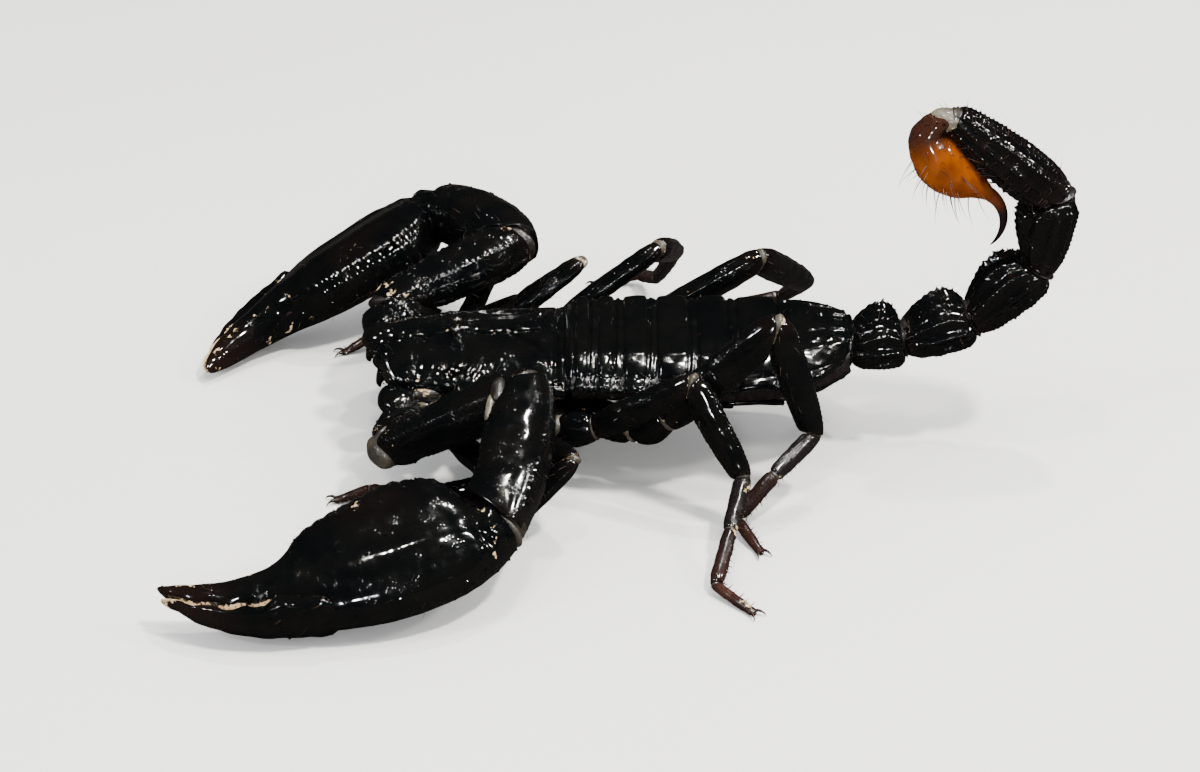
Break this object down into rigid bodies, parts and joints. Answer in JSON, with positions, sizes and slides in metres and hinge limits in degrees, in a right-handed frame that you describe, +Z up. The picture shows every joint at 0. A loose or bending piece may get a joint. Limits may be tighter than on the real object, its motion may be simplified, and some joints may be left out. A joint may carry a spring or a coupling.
{
  "type": "forest scorpion",
  "caption": "Life-size glossy black forest scorpion, standing with its claws held forward, legs spread and an amber-tipped tail curled over its back.",
  "frame": {"origin": "the floor under the centre of the whole animal's bounding box, claws and tail included", "axes": "+X toward the animal's left side, +Y from head to tail, +Z up from the floor it stands on"},
  "size_m": [0.0742, 0.0876, 0.0368],
  "materials": {
    "shell_black": "glossy, wet-looking",
    "telson_amber": "glossy, slightly translucent amber",
    "sting_brown": "glossy dark red-brown",
    "tarsus_brown": "satin dark red-brown with bristles",
    "eye_black": "polished",
    "comb_tan": "satin tan"
  },
  "bodies": {
    "root": {"carapace": "shell_black", "eye_left": "eye_black", "eye_right": "eye_black", "chelicera_left": "shell_black", "chelicera_right": "shell_black", "coxosternum": "shell_black", "pectine_left": "comb_tan", "pectine_right": "comb_tan", "mesosoma_1": "shell_black", "mesosoma_2": "shell_black", "mesosoma_3": "shell_black", "mesosoma_4": "shell_black", "mesosoma_5": "shell_black", "mesosoma_6": "shell_black", "mesosoma_7": "shell_black", "metasoma_1": "shell_black", "metasoma_2": "shell_black", "metasoma_3": "shell_black", "metasoma_4": "shell_black", "metasoma_5": "shell_black", "telson": "telson_amber", "aculeus": "sting_brown", "trochanter_left": "shell_black", "femur_left": "shell_black", "patella_left": "shell_black", "manus_left": "shell_black", "movable_finger_left": "shell_black", "trochanter_right": "shell_black", "femur_right": "shell_black", "patella_right": "shell_black", "manus_right": "shell_black", "movable_finger_right": "shell_black", "leg_left_1_femur": "shell_black", "leg_left_1_patella": "shell_black", "leg_left_1_foot": "tarsus_brown", "leg_left_2_femur": "shell_black", "leg_left_2_patella": "shell_black", "leg_left_2_foot": "tarsus_brown", "leg_left_3_femur": "shell_black", "leg_left_3_patella": "shell_black", "leg_left_3_foot": "tarsus_brown", "leg_left_4_femur": "shell_black", "leg_left_4_patella": "shell_black", "leg_left_4_foot": "tarsus_brown", "leg_right_1_femur": "shell_black", "leg_right_1_patella": "shell_black", "leg_right_1_foot": "tarsus_brown", "leg_right_2_femur": "shell_black", "leg_right_2_patella": "shell_black", "leg_right_2_foot": "tarsus_brown", "leg_right_3_femur": "shell_black", "leg_right_3_patella": "shell_black", "leg_right_3_foot": "tarsus_brown", "leg_right_4_femur": "shell_black", "leg_right_4_patella": "shell_black", "leg_right_4_foot": "tarsus_brown"}
  },
  "joints": []
}
